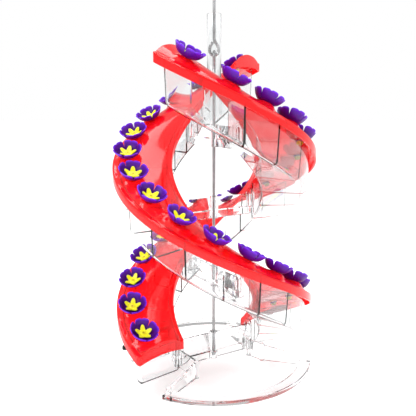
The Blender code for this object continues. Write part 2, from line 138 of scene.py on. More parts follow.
# The shank is (across, up) from the eye's middle in eye radii, and the hook's neck is (across
# in bend radii, up in metres) from where the straight wire ends. Arcs are in degrees.
EYE_SHANK = [(0.0, 2.35), (0.06, 2.05), (0.26, 1.75), (0.55, 1.35), (0.80, 0.92), (0.95, 0.48)]
EYE_FROM, EYE_TO = 14.0, -194.0
HOOK_INNER = 0.0090
HOOK_FROM, HOOK_TO = -38.0, 205.0
HOOK_NECK = [(0.0, -0.0040), (0.15, 0.0), (0.55, 0.0030), (1.1, 0.0065)]
HOOK_NECK_STRETCH = 1.9             # how drawn out the neck is, against two plain bends
THREAD_TOP = 0.0150                 # over the stand
THREAD_TURNS, THREAD_RIDGE, THREAD_MARGIN = 15, 0.00020, 0.0003
POINTS_A_TURN = 14
SLEEVE_OUTER, SLEEVE_INNER = 0.0080, 0.0072

# Bridges and base. The webs, plates and windows of a bridge are over its own port line.
BRIDGE_ANGLES = {"bridge_upper": 61.2, "bridge_middle": 151.2, "bridge_lower": 241.2}
BASE_ANGLE = 331.2
WEB_TOP, WEB_BOTTOM = -0.0365, -0.0610
WEB_THICKNESS = 0.0024
RAIL_THICKNESS, RAIL_HEIGHT = 0.0050, 0.0095
RAIL_CHAMFER = 0.0010
WEB_INTO_PLATE = 0.0005             # overlap of the web and the plates at its ends
HUB_RADIUS, HUB_BORE = 0.0053, 0.00215
HUB_DROP, HUB_RISE = 0.0003, 0.0010
PLATE_INNER, PLATE_OUTER, PLATE_WIDTH, PLATE_TOP = 0.0515, 0.0535, 0.0150, -0.0305
PLATE_LIFT = 0.0003                 # of the plates' lower edges over the rail's
PLATE_BEAD = 0.0012                 # radius of the bead round an end plate
BEAD_INSET, BEAD_LIFT = 0.0004, 0.0016
WINDOW_WIDTH, WINDOW_TOP, WINDOW_BOTTOM = 0.0080, -0.0345, -0.0540
FOOT_OUTER, FOOT_INNER, FOOT_HEIGHT = 0.1187, 0.1045, 0.0058
FOOT_START, FOOT_END = 242.0, 350.0
FOOT_EDGE, FOOT_STEPS = 0.0012, 54
BASE_LIFT = 0.0009                  # of the base's web over the stand
WALL_THICKNESS, WALL_LIFT = 0.0030, 0.0006
CORNER_HEIGHT, SHOULDER_HEIGHT = 0.0105, 0.0210
KNOB_RADIUS, KNOB_EDGE, KNOB_LIFT, KNOB_RISE = 0.0032, 0.0010, 0.0003, 0.0012
MOULDING_EDGE, BASE_EDGE = 0.00035, 0.0003
NUT_FLATS, NUT_HEIGHT, NUT_CHAMFER, NUT_GAP = 0.0070, 0.0032, 0.0005, 0.0003
NUT_POCKET_RADIUS, NUT_POCKET_DEPTH = 0.0044, 0.0095

# How far a cutter passes the face that it cuts.
WINDOW_PAST, BRIDGE_PAST, BASE_PAST, POCKET_PAST, NUT_PAST = 0.002, 0.005, 0.004, 0.005, 0.002

# Studio.
FLOOR_RADIUS, FLOOR_DROP = 9.0, 0.030
CAMERA_PLACE = (-0.0069, -0.67427, CURVE_TOP_Z - 0.0642)
CAMERA_TILT = 79.30
LIGHT_BOUNCES = 12                  # enough to cross the clear walls one behind another


# ---------------------------------------------------------------- geometry helpers


def polar(radius, azimuth, z=0.0):
    """The point at this distance from the rod's axis, at an azimuth in degrees."""
    turn = math.radians(azimuth)
    return Vector((radius * math.cos(turn), radius * math.sin(turn), z))


def curve_z(angle):
    """Height of the port line at a strand's angle in degrees."""
    return CURVE_TOP_Z - PITCH * angle / 360.0


def turned(azimuth):
    return Matrix.Rotation(math.radians(azimuth), 4, "Z")


def port_matrix(index):
    """Where a port stands on a strand: its origin in the middle of the rim, +Z out of the cup."""
    angle = index * PORT_STEP - (FIRST_PORT_LEAD if index == 1 else 0.0)
    fall = PITCH / (2 * math.pi)
    normal = Vector((PORT_LEAN_OUT * PORT_RADIUS, fall, PORT_RADIUS)).normalized()
    across = normal.cross(Vector((1, 0, 0))).normalized()
    along = across.cross(normal)
    axes = Matrix((along, across, normal)).transposed().to_4x4()
    rim = Vector((PORT_RADIUS, 0, curve_z(angle)))
    return turned(angle) @ Matrix.Translation(rim) @ axes


def arc(centre, radius, first, last, steps):
    """Points (across, up) on an arc from one angle in degrees to another."""
    points = []
    for step in range(steps + 1):
        turn = math.radians(first + (last - first) * step / steps)
        points.append((centre[0] + radius * math.cos(turn), centre[1] + radius * math.sin(turn)))
    return points


def smooth_step(value, low, high):
    share = min(1.0, max(0.0, (value - low) / (high - low)))
    return share * share * (3.0 - 2.0 * share)


def add_rows(shape, rows):
    return [[shape.verts.new(point) for point in row] for row in rows]


def bridge_rows(shape, rows, closed):
    """Quads between successive rows of vertices. Closed joins the ends of each row."""
    for lower, upper in zip(rows, rows[1:]):
        count = len(lower)
        for place in range(count if closed else count - 1):
            after = (place + 1) % count
            shape.faces.new((lower[place], lower[after], upper[after], upper[place]))


def mesh_from(shape, name):
    bmesh.ops.recalc_face_normals(shape, faces=shape.faces)
    mesh = bpy.data.meshes.new(name)
    shape.to_mesh(mesh)
    shape.free()
    return mesh


def helper(name, mesh):
    """The mesh as an object in the scene."""
    thing = bpy.data.objects.new(name, mesh)
    bpy.context.scene.collection.objects.link(thing)
    return thing


def baked(thing):
    """The object's mesh with its modifiers and placing applied, and the object removed."""
    bpy.context.view_layer.update()
    graph = bpy.context.evaluated_depsgraph_get()
    mesh = bpy.data.meshes.new_from_object(thing.evaluated_get(graph))
    mesh.transform(thing.matrix_world)
    bpy.data.objects.remove(thing, do_unlink=True)
    return mesh


def joined(name, meshes):
    """One mesh that holds all of these."""
    shape = bmesh.new()
    for mesh in meshes:
        shape.from_mesh(mesh)
    result = bpy.data.meshes.new(name)
    shape.to_mesh(result)
    shape.free()
    return result


def boolean(mesh, other, operation):
    """The mesh joined with, cut by or kept to the inside of another, exactly."""
    thing = helper("whole", mesh)
    tool = helper("tool", other)
    modifier = thing.modifiers.new("joint", "BOOLEAN")
    modifier.operation = operation
    modifier.solver = "EXACT"
    modifier.object = tool
    result = baked(thing)
    bpy.data.objects.remove(tool, do_unlink=True)
    return result


def union(meshes):
    result = meshes[0]
    for mesh in meshes[1:]:
        result = boolean(result, mesh, "UNION")
    return result


def with_bevel(mesh, width):
    """The mesh with its sharp edges rounded."""
    thing = helper("sharp", mesh)
    modifier = thing.modifiers.new("edges", "BEVEL")
    modifier.width = width
    modifier.segments = BEVEL_SEGMENTS
    modifier.limit_method = "ANGLE"
    modifier.angle_limit = math.radians(BEVEL_ANGLE)
    return baked(thing)


def with_wall(mesh, wall):
    """A skin given a wall of this thickness on its inner side."""
    thing = helper("skin", mesh)
    modifier = thing.modifiers.new("wall", "SOLIDIFY")
    modifier.thickness = wall
    modifier.offset = -1.0
    modifier.use_even_offset = True
    modifier.use_quality_normals = True
    return baked(thing)


def box(low, high, matrix):
    shape = bmesh.new()
    size = Vector(high) - Vector(low)
    middle = (Vector(high) + Vector(low)) / 2
    placing = Matrix.Translation(middle) @ Matrix.Diagonal((*size, 1.0))
    bmesh.ops.create_cube(shape, size=1.0, matrix=matrix @ placing)
    return mesh_from(shape, "box")


def turned_shape(profile, sides, centre=(0.0, 0.0)):
    """A profile of (radius, height) points turned about an upright axis, closed at radius 0
    or, where it ends off the axis, into a ring."""
    rows = []
    for radius, height in profile:
        row = []
        for side in range(sides):
            point = polar(max(radius, NEAR_ZERO), 360.0 * side / sides, height)
            row.append(point + Vector((centre[0], centre[1], 0)))
        rows.append(row)
    shape = bmesh.new()
    verts = add_rows(shape, rows)
    on_axis = profile[0][0] == 0.0
    bridge_rows(shape, verts if on_axis else verts + verts[:1], True)
    bmesh.ops.remove_doubles(shape, verts=shape.verts, dist=MERGE_DISTANCE)
    return mesh_from(shape, "turned")


def prism(outline, low, high, matrix):
    """A flat outline given a depth from low to high, then placed."""
    shape = bmesh.new()
    ring = [shape.verts.new((x, y, low)) for x, y in outline]
    face = shape.faces.new(ring)
    grown = bmesh.ops.extrude_face_region(shape, geom=[face])
    raised = [item for item in grown["geom"] if isinstance(item, bmesh.types.BMVert)]
    bmesh.ops.translate(shape, vec=(0, 0, high - low), verts=raised)
    bmesh.ops.transform(shape, matrix=matrix, verts=shape.verts)
    return mesh_from(shape, "prism")


def facing_out(azimuth):
    """Turns local x to the sideways direction, y to up and z to outwards at this azimuth."""
    return turned(azimuth) @ Matrix(((0, 0, 1), (1, 0, 0), (0, 1, 0))).to_4x4()


def tube(points, radius, sides=16):
    """A round wire along these points, with flat closed tips."""
    curve = bpy.data.curves.new("wire", "CURVE")
    curve.dimensions = "3D"
    curve.bevel_depth = radius
    curve.bevel_resolution = sides // 4 - 1
    curve.use_fill_caps = True
    spline = curve.splines.new("POLY")
    spline.points.add(len(points) - 1)
    for place, point in zip(spline.points, points):
        place.co = (*point, 1.0)
    thing = bpy.data.objects.new("wire", curve)
    bpy.context.scene.collection.objects.link(thing)
    mesh = baked(thing)
    shape = bmesh.new()
    shape.from_mesh(mesh)
    bmesh.ops.remove_doubles(shape, verts=shape.verts, dist=NEAR_ZERO)
    return mesh_from(shape, "wire")


def finished(name, mesh, material, body, replaced, matrix=None, sharp=38.0):
    """Places a mesh as a piece that stands for CAD nodes and rides on a body."""
    mesh.name = name
    if not mesh.materials:
        mesh.materials.append(material)
    mesh.shade_smooth()
    mesh.set_sharp_from_angle(angle=math.radians(sharp))
    piece = helper(name, mesh)
    if matrix is not None:
        piece.matrix_world = matrix
    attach(piece, body)
    if replaced:
        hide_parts(*replaced)
    return piece


# ---------------------------------------------------------------- materials


def set_stops(ramp, stops):
    """Gives a colour ramp node these (position, colour) stops."""
    elements = ramp.color_ramp.elements
    while len(elements) < len(stops):
        elements.new(0.5)
    for element, (position, colour) in zip(elements, stops):
        element.position = position
        element.color = (*colour, 1.0)


class Nodes:
    """Short calls to add and link shader nodes in one material."""

    def __init__(self, name):
        self.material = bpy.data.materials.new(name)
        self.material.use_nodes = True
        self.tree = self.material.node_tree
        self.shader = self.tree.nodes["Principled BSDF"]

    def node(self, kind, **settings):
        made = self.tree.nodes.new(kind)
        for key, value in settings.items():
            setattr(made, key, value)
        return made

    def link(self, source, target):
        self.tree.links.new(source, target)

    def place(self, scale):
        """The piece's own coordinates, scaled."""
        coordinates = self.node("ShaderNodeTexCoord")
        mapping = self.node("ShaderNodeMapping")
        mapping.inputs["Scale"].default_value = scale
        self.link(coordinates.outputs["Object"], mapping.inputs["Vector"])
        return mapping.outputs["Vector"]

    def noise(self, scale, detail=3.0, stretch=(1.0, 1.0, 1.0), rough=0.55):
        texture = self.node("ShaderNodeTexNoise")
        texture.inputs["Scale"].default_value = scale
        texture.inputs["Detail"].default_value = detail
        texture.inputs["Roughness"].default_value = rough
        self.link(self.place(stretch), texture.inputs["Vector"])
        return texture.outputs["Fac"]

    def ramp(self, source, stops):
        """A colour ramp of (position, colour) stops."""
        ramp = self.node("ShaderNodeValToRGB")
        set_stops(ramp, stops)
        self.link(source, ramp.inputs["Fac"])
        return ramp.outputs["Color"]

    def spread(self, source, low, high, start=0.3, end=0.7):
        """Maps a value that runs from start to end, as a noise does, to a range."""
        node = self.node("ShaderNodeMapRange")
        node.inputs["From Min"].default_value = start
        node.inputs["From Max"].default_value = end
        node.inputs["To Min"].default_value = low
        node.inputs["To Max"].default_value = high
        self.link(source, node.inputs["Value"])
        return node.outputs["Result"]

    def mix(self, share, first, second, blend="MIX"):
        node = self.node("ShaderNodeMix", data_type="RGBA", blend_type=blend)
        for source, socket in ((share, node.inputs[0]), (first, node.inputs[6]),
                               (second, node.inputs[7])):
            if isinstance(source, bpy.types.NodeSocket):
                self.link(source, socket)
            elif isinstance(source, tuple):
                socket.default_value = (*source, 1.0)
            else:
                socket.default_value = source
        return node.outputs[2]

    def bump(self, source, strength, distance):
        node = self.node("ShaderNodeBump")
        node.inputs["Strength"].default_value = strength
        node.inputs["Distance"].default_value = distance
        self.link(source, node.inputs["Height"])
        self.link(node.outputs["Normal"], self.shader.inputs["Normal"])

    def set(self, **values):
        for key, value in values.items():
            self.shader.inputs[key.replace("_", " ")].default_value = value


def red_material():
    """Tinted, slightly see-through moulded plastic with faint flow lines, and a faint painted red
    glow that brightens it.
    """
    made = Nodes("red_plastic")
    broad = made.noise(18.0, 2.0)
    fine = made.noise(900.0, 3.0, (1.0, 1.0, 0.35))
    made.link(made.ramp(broad, [(0.30, (0.97, 0.006, 0.010)), (0.70, (1.00, 0.012, 0.015))]),
              made.shader.inputs["Base Color"])
    made.link(made.spread(made.noise(140.0, 3.0), 0.06, 0.13), made.shader.inputs["Roughness"])
    made.bump(fine, 0.05, 0.0002)
    # The weak red emission is a painted glow that lifts the lid's red, though the lid is no lamp.
    made.set(Transmission_Weight=0.74, IOR=1.46, Specular_IOR_Level=0.25,
             Emission_Color=(1.0, 0.010, 0.014, 1.0), Emission_Strength=0.10)
    return made.material


def clear_material():
    """Clear moulded plastic: faint flow lines and a breath of haze from handling."""
    made = Nodes("clear_plastic")
    broad = made.noise(25.0, 2.0)
    made.link(made.ramp(broad, [(0.30, (0.940, 0.950, 0.953)), (0.70, (0.968, 0.974, 0.976))]),
              made.shader.inputs["Base Color"])
    made.link(made.spread(made.noise(160.0, 3.0), 0.0, 0.018), made.shader.inputs["Roughness"])
    made.bump(made.noise(60.0, 2.0, (1.0, 1.0, 0.3)), 0.02, 0.0002)
    made.set(Transmission_Weight=1.0, IOR=1.46)
    return made.material


def violet_material():
    """Petals: painted shade that darkens the cup towards its floor and painted light that
    brightens the rim, with fine veins up each petal.
    """
    made = Nodes("violet_plastic")
    coordinates = made.node("ShaderNodeTexCoord")
    parts = made.node("ShaderNodeSeparateXYZ")
    made.link(coordinates.outputs["Object"], parts.inputs[0])
    # Colour by height: painted shade deep in the cup, painted light along the rim.
    height = made.spread(parts.outputs["Z"], 0.0, 1.0, CUP_FLOOR_Z, 0.0)
    body = made.ramp(height, [
        (0.00, (0.070, 0.001, 0.165)), (0.45, (0.080, 0.002, 0.225)),
        (0.82, (0.108, 0.005, 0.380)), (1.00, (0.190, 0.025, 0.800)),
    ])
    turn = made.node("ShaderNodeMath", operation="ARCTAN2")
    made.link(parts.outputs["Y"], turn.inputs[0])
    made.link(parts.outputs["X"], turn.inputs[1])
    veins = made.node("ShaderNodeMath", operation="MULTIPLY")
    veins.inputs[1].default_value = VEINS
    made.link(turn.outputs[0], veins.inputs[0])
    wave = made.node("ShaderNodeMath", operation="SINE")
    made.link(veins.outputs[0], wave.inputs[0])
    streak = made.spread(wave.outputs[0], 0.42, 0.58)
    darker = made.mix(streak, body, (0.60, 0.55, 0.75), "MULTIPLY")
    mottle = made.mix(made.noise(420.0, 3.0), darker, body)
    made.link(mottle, made.shader.inputs["Base Color"])
    made.link(made.spread(made.noise(700.0, 2.0), 0.28, 0.40), made.shader.inputs["Roughness"])
    made.bump(wave.outputs[0], 0.10, 0.0002)
    made.set(Subsurface_Weight=0.15, Subsurface_Scale=0.002, IOR=1.47,
             Specular_IOR_Level=0.25)
    return made.material


def yellow_material():
    """Star insert: bright yellow, with painted shade round its hole and down the stem that makes
    it darker and more orange there.
    """
    made = Nodes("yellow_plastic")
    coordinates = made.node("ShaderNodeTexCoord")
    flat = made.node("ShaderNodeVectorMath", operation="MULTIPLY")
    flat.inputs[1].default_value = (1.0, 1.0, 0.0)
    made.link(coordinates.outputs["Object"], flat.inputs[0])
    length = made.node("ShaderNodeVectorMath", operation="LENGTH")
    made.link(flat.outputs["Vector"], length.inputs[0])
    # Colour by distance from the axis: painted shade, darker and more orange, round the hole and
    # down the stem.
    reach = made.spread(length.outputs["Value"], 0.0, 1.0, 0.0010, 0.0090)
    body = made.ramp(reach, [
        (0.00, (0.60, 0.44, 0.004)), (0.10, (0.90, 0.80, 0.008)),
        (0.30, (0.97, 0.93, 0.012)), (1.00, (1.00, 0.96, 0.020)),
    ])
    mottle = made.mix(made.noise(500.0, 3.0), body, (0.95, 0.90, 0.03))
    shade = made.mix(0.35, body, mottle)
    made.link(shade, made.shader.inputs["Base Color"])
    made.link(made.spread(made.noise(800.0, 2.0), 0.25, 0.38), made.shader.inputs["Roughness"])
    made.bump(made.noise(1200.0, 2.0), 0.08, 0.0001)
    made.set(Subsurface_Weight=0.1, Subsurface_Scale=0.002, IOR=1.47)
    return made.material


def steel_material():
    """Drawn steel wire: long fine lines, cloudy patches where hands have been."""
    made = Nodes("drawn_steel")
    lines = made.noise(900.0, 4.0, (1.0, 1.0, 0.03), 0.7)
    clouds = made.noise(60.0, 3.0)
    made.link(made.ramp(clouds, [(0.30, (0.29, 0.28, 0.28)), (0.70, (0.40, 0.40, 0.41))]),
              made.shader.inputs["Base Color"])
    made.link(made.spread(lines, 0.18, 0.38), made.shader.inputs["Roughness"])
    made.bump(lines, 0.15, 0.0001)
    made.set(Metallic=1.0)
    return made.material


RED = red_material()
CLEAR = clear_material()
VIOLET = violet_material()
YELLOW = yellow_material()
STEEL = steel_material()


# ---------------------------------------------------------------- lids


def quarter_round(distance, size):
    """How far a rounded end stands back at this distance from the end."""
    if distance >= size:
        return 0.0
    return size - math.sqrt(size * size - (size - distance) ** 2)


def drawn_in(radius, inner, outer, inset):
    """This radius moved towards the middle of a strand, by the inset at its two sides."""
    middle = (outer + inner) / 2
    half = (outer - inner) / 2
    return middle + (radius - middle) * (1.0 - inset / half)


def stations(start, end, near, gap):
    """(angle, distance to the nearer end) of each section along a strand: at these distances
    from its ends, and evenly spaced between."""
    steps = round((end - start) / DEGREES_A_STEP)
    turns = [math.degrees(distance / MIDDLE_RADIUS) for distance in near]
    first, last = start + DEGREES_A_STEP * gap, end - DEGREES_A_STEP * gap
    middle = [(first + (last - first) * step / steps, FAR_FROM_END) for step in range(steps + 1)]
    upper = [(start + turn, distance) for turn, distance in zip(turns, near)]
    lower = [(end - turn, distance) for turn, distance in zip(turns, near)]
    return upper + middle + lower[::-1]


def lid_row(angle, distance):
    """The lid's section at this angle, from its outer skirt over the dome to its inner skirt,
    drawn in a little where it is this near to an end."""
    inset = quarter_round(distance, LID_CORNER)
    drop = quarter_round(distance, LID_END_ROUND)
    outer = [(LID_OUTER - across, height) for across, height in LID_SECTION]
    inner = [(LID_INNER + across, height) for across, height in LID_SECTION[-2::-1]]
    row = []
    for radius, height in outer + inner:
        lowered = height - drop * smooth_step(height, BORDER_FOOT, BORDER_TOP)
        place = drawn_in(radius, LID_INNER, LID_OUTER, inset)
        row.append(polar(place, angle, curve_z(angle) + lowered))
    return row


def close_lid_end(shape, row):
    """The end wall under one end of the dome, with its lower edge arched."""
    first, last = row[0].co.copy(), row[-1].co.copy()
    edge = []
    for step in range(1, LID_END_STEPS):
        share = step / LID_END_STEPS
        point = last.lerp(first, share)
        point.z += LID_END_ARCH * (1.0 - (2.0 * share - 1.0) ** 2)
        edge.append(shape.verts.new(point))
    shape.faces.new(row + edge)


def smooth_max(first, second, blend):
    """The larger of two heights, with the crease between them rounded."""
    share = min(1.0, max(0.0, 0.5 + 0.5 * (second - first) / blend))
    return first + (second - first) * share + blend * share * (1.0 - share)


def raise_bosses(shape):
    """Lifts the dome to a low cone under each port."""
    for index in range(1, PORTS + 1):
        matrix = port_matrix(index)
        inverse = matrix.inverted()
        for vert in shape.verts:
            local = inverse @ vert.co
            away = math.hypot(local.x, local.y)
            if away > BOSS_REACH or local.z < BOSS_FOOT:
                continue
            height = BOSS_TOP - max(0.0, away - BOSS_RADIUS) * BOSS_SLOPE
            raised = smooth_max(local.z, height, BOSS_BLEND)
            vert.co = matrix @ Vector((local.x, local.y, max(local.z, raised)))


def lid_mesh():
    """One strand's red lid, with a hole for each port's neck."""
    shape = bmesh.new()
    along = stations(LID_START, LID_END, LID_NEAR_END, LID_END_GAP)
    rows = add_rows(shape, [lid_row(*station) for station in along])
    bridge_rows(shape, rows, False)
    close_lid_end(shape, rows[0])
    close_lid_end(shape, rows[-1])
    raise_bosses(shape)
    shell = with_wall(mesh_from(shape, "lid_skin"), LID_WALL)
    hole = [(0.0, HOLE_BOTTOM), (HOLE_RADIUS, HOLE_BOTTOM), (HOLE_RADIUS, HOLE_TOP),
            (0.0, HOLE_TOP)]
    holes = []
    for index in range(1, PORTS + 1):
        drill = turned_shape(hole, HOLE_SIDES)
        drill.transform(port_matrix(index))
        holes.append(drill)
    return boolean(shell, joined("holes", holes), "DIFFERENCE")


# ---------------------------------------------------------------- troughs


def channel_profile(inset, rim):
    """The trough's section as an open line of (radius, height), this far inside its faces."""
    inner, outer, floor = TROUGH_INNER + inset, TROUGH_OUTER - inset, TROUGH_FLOOR + inset
    small, large = INNER_CORNER - inset / 2, OUTER_CORNER - inset
    foot = outer - TROUGH_DRAFT
    lean = TROUGH_DRAFT / (rim - floor)
    return (
        [(inner, rim), (inner, (rim + floor) / 2)]
        + arc((inner + small, floor + small), small, 180.0, 270.0, 4)
        + [(inner + (foot - inner) * share, floor) for share in (0.35, 0.65)]
        + arc((foot + lean * large - large, floor + large), large, 270.0, 360.0, 6)
        + [(outer - TROUGH_DRAFT / 2, (rim + floor) / 2), (outer, rim)]
    )


def trough_row(angle, distance):
    """The trough's section at this angle, drawn in a little where it is this near to an end."""
    inset = quarter_round(distance, TROUGH_END_ROUND)
    dip = TROUGH_START_DIP if angle < TROUGH_START + DEGREES_A_STEP else 0.0
    row = []
    for radius, height in channel_profile(0.0, TROUGH_RIM):
        place = drawn_in(radius, TROUGH_INNER, TROUGH_OUTER, inset)
        lifted = height + inset * smooth_step(-height, FLOOR_ROUND_TOP, FLOOR_ROUND_FOOT)
        lowered = lifted - dip * smooth_step(height, TROUGH_DIP_FOOT, TROUGH_RIM)
        row.append(polar(place, angle, max(curve_z(angle) + lowered, STAND_Z + inset)))
    return row


def trough_mesh():
    """One strand's clear trough, with its dams and the lugs that its bridges clip to."""
    shape = bmesh.new()
    along = stations(TROUGH_START, TROUGH_END, TROUGH_NEAR_END, TROUGH_END_GAP)
    verts = add_rows(shape, [trough_row(*station) for station in along])
    bridge_rows(shape, verts, False)
    shape.faces.new(verts[0])
    shape.faces.new(verts[-1])
    shell = with_wall(mesh_from(shape, "trough_skin"), TROUGH_WALL)
    fittings = []
    section = channel_profile(TROUGH_WALL / 2, DAM_TOP)
    for index in range(1, PORTS):
        angle = index * PORT_STEP + DAM_LAG
        half = DAM_THICKNESS / 2
        placing = (Matrix.Translation((0, 0, curve_z(angle))) @ turned(angle)
                   @ Matrix(((1, 0, 0), (0, 0, -1), (0, 1, 0))).to_4x4())
        fittings.append(prism(section, -half, half, placing))
    for angle in [*BRIDGE_ANGLES.values(), BASE_ANGLE]:
        z = curve_z(angle)
        low = (LUG_REACH, -LUG_WIDTH / 2, z + LUG_BOTTOM)
        high = (TROUGH_INNER + TROUGH_WALL / 2, LUG_WIDTH / 2, z + LUG_TOP)
        fittings.append(box(low, high, turned(angle)))
    return boolean(shell, joined("fittings", fittings), "UNION")


# ---------------------------------------------------------------- flower ports and stars


# The cup's outside, as (radius, height) from its floor to its rim.
CUP = [(0.0048, -0.0098), (0.0070, -0.0097), (0.0092, -0.0091), (0.0111, -0.0080),
       (0.0127, -0.0065), (0.0140, -0.0048), (0.0150, -0.0032), (0.0158, -0.0016),
       (0.0165, -0.0003)]


def cup_point(share):
    """Radius and height of the cup's outside at a share of the way from floor to rim."""
    place = share * (len(CUP) - 1)
    index = min(int(place), len(CUP) - 2)
    part = place - index
    (low, first), (high, second) = CUP[index], CUP[index + 1]
    return low + (high - low) * part, first + (second - first) * part


def flower_mesh():
    """A cup of five petals, slit between them, on a short hollow neck."""
    rows = []
    for row in range(PETAL_ROWS + 1):
        ring = []
        for column in range(PETALS * PETAL_COLUMNS):
            off = (column % PETAL_COLUMNS) / PETAL_COLUMNS * 2.0 - 1.0
            azimuth = 360.0 / PETALS * (column / PETAL_COLUMNS + 0.5) - 180.0 / PETALS
            slit = SLIT_DEPTH * abs(off) ** SLIT_POWER
            dip = DIP_DEPTH * math.exp(-((off / DIP_WIDTH) ** 2))
            share = row / PETAL_ROWS * (1.0 - slit - dip)
            radius, height = cup_point(share)
            swell = share * share
            lobe = 1.0 - 2.0 * abs(off) ** 5
            radius *= 1.0 + PETAL_SWELL * swell * lobe
            height += PETAL_CURL * swell * lobe
            ring.append(polar(min(radius, PETAL_TIP), azimuth, height))
        rows.append(ring)
    shape = bmesh.new()
    bridge_rows(shape, add_rows(shape, rows), True)
    cup = with_bevel(with_wall(mesh_from(shape, "cup_skin"), CUP_WALL), CUP_EDGE)
    neck = turned_shape([
        (NECK_RADIUS, NECK_DEPTH), (NECK_RADIUS, CUP_FLOOR_Z), (COLLAR_RADIUS, COLLAR_LOW),
        (COLLAR_RADIUS, COLLAR_HIGH), (NECK_BORE, COLLAR_HIGH), (NECK_BORE, NECK_DEPTH),
    ], sides=28)
    return joined("flower", [cup, neck])


def star_mesh():
    """Five blunt points that lie up the petals, a raised ring round the hole, and a stem."""
    rows = []
    for row in range(STAR_ROWS + 1):
        share = row / STAR_ROWS
        ring = []
        for column in range(PETALS * STAR_COLUMNS):
            azimuth = 360.0 * column / (PETALS * STAR_COLUMNS)
            wave = 0.5 - 0.5 * math.cos(math.radians(azimuth * PETALS))
            edge = STAR_VALLEY + (STAR_TIP - STAR_VALLEY) * wave ** STAR_SHARPNESS
            radius = STAR_HOLE + (edge - STAR_HOLE) * share
            lip = LIP_HEIGHT * math.exp(-(((radius - LIP_RADIUS) / LIP_WIDTH) ** 2))
            climb = CLIMB_HEIGHT * smooth_step(radius, CLIMB_START, CLIMB_END)
            ridge = RIDGE_HEIGHT * wave * smooth_step(radius, RIDGE_START, RIDGE_END)
            ring.append(polar(radius, azimuth, STAR_Z + lip + climb + ridge))
        rows.append(ring)
    shape = bmesh.new()
    bridge_rows(shape, add_rows(shape, rows), True)
    star = with_bevel(with_wall(mesh_from(shape, "star_skin"), STAR_WALL), STAR_EDGE)
    stem = turned_shape([
        (STEM_HOLE, STEM_DEPTH), (STEM_FOOT_RADIUS, STEM_DEPTH),
        (STEM_RADIUS, STEM_DEPTH + STEM_EDGE), (STEM_RADIUS, STEM_TOP), (STEM_HOLE, STEM_TOP),
    ], sides=24)
    return joined("star", [star, stem])


# ---------------------------------------------------------------- bridges


def end_plate(azimuth, z, bottom):
    """Arched clip plate with a window, and a raised bead round its edge."""
    radius = PLATE_WIDTH / 2
    spring = z + PLATE_TOP - radius
    curve = arc((0.0, spring), radius, 0.0, 180.0, 24)
    outline = [(-radius, bottom), (radius, bottom)] + curve
    plate = prism(outline, PLATE_INNER, PLATE_OUTER, facing_out(azimuth))
    half = WINDOW_WIDTH / 2
    top = z + WINDOW_TOP - half
    window = [(-half, z + WINDOW_BOTTOM), (half, z + WINDOW_BOTTOM)]
    window += arc((0.0, top), half, 0.0, 180.0, 16)
    cutter = prism(window, PLATE_INNER - WINDOW_PAST, PLATE_OUTER + WINDOW_PAST,
                   facing_out(azimuth))
    cut_plate = boolean(plate, cutter, "DIFFERENCE")
    middle = (PLATE_INNER + PLATE_OUTER) / 2
    inset = radius - BEAD_INSET
    bead_line = [(inset, bottom + BEAD_LIFT), *arc((0.0, spring), inset, 0.0, 180.0, 24),
                 (-inset, bottom + BEAD_LIFT)]
    bead = tube([facing_out(azimuth) @ Vector((x, y, middle)) for x, y in bead_line],
                PLATE_BEAD, sides=12)
    return boolean(cut_plate, bead, "UNION")


def bridge_solid(angle, bottom):
    """A web with a rail along its foot, the hub in its middle and a plate at each end."""
    z = curve_z(angle)
    azimuth = STRANDS["a"] + angle
    reach = PLATE_INNER + WEB_INTO_PLATE
    half, rail = WEB_THICKNESS / 2, RAIL_THICKNESS / 2
    shelf, top = bottom + RAIL_HEIGHT, z + WEB_TOP
    section = [
        (-rail, bottom), (rail, bottom), (rail, shelf - RAIL_CHAMFER), (half, shelf),
        (half, top), (-half, top), (-half, shelf), (-rail, shelf - RAIL_CHAMFER),
    ]
    web = prism(section, -reach, reach, facing_out(azimuth))
    hub = turned_shape([
        (0.0, bottom - HUB_DROP), (HUB_RADIUS, bottom - HUB_DROP),
        (HUB_RADIUS, top + HUB_RISE), (0.0, top + HUB_RISE),
    ], sides=36)
    plates = [end_plate(azimuth + turn, z, bottom + PLATE_LIFT) for turn in (0.0, 180.0)]
    return union([web, hub, *plates])


def bore_mesh(low, high):
    """A cutter for the rod's hole."""
    return turned_shape([(0.0, low), (HUB_BORE, low), (HUB_BORE, high), (0.0, high)], sides=24)


def bridge_mesh(angle):
    bottom = curve_z(angle) + WEB_BOTTOM
    solid = bridge_solid(angle, bottom)
    bore = bore_mesh(bottom - BRIDGE_PAST, curve_z(angle))
    return with_bevel(boolean(solid, bore, "DIFFERENCE"), MOULDING_EDGE)


# ---------------------------------------------------------------- base


def sloping_wall(start, end, heights):
    """An upright wall on the plan from start to end, with these heights over the stand."""
    along = Vector((end[0] - start[0], end[1] - start[1]))
    side = Vector((-along.y, along.x)).normalized() * WALL_THICKNESS / 2
    shape = bmesh.new()
    bmesh.ops.create_cube(shape, size=1.0)
    for vert in shape.verts:
        far = vert.co.x > 0
        place = Vector(end if far else start) + (side if vert.co.y > 0 else -side)
        top = heights[1] if far else heights[0]
        vert.co = (place.x, place.y, STAND_Z + (top if vert.co.z > 0 else WALL_LIFT))
    return mesh_from(shape, "wall")


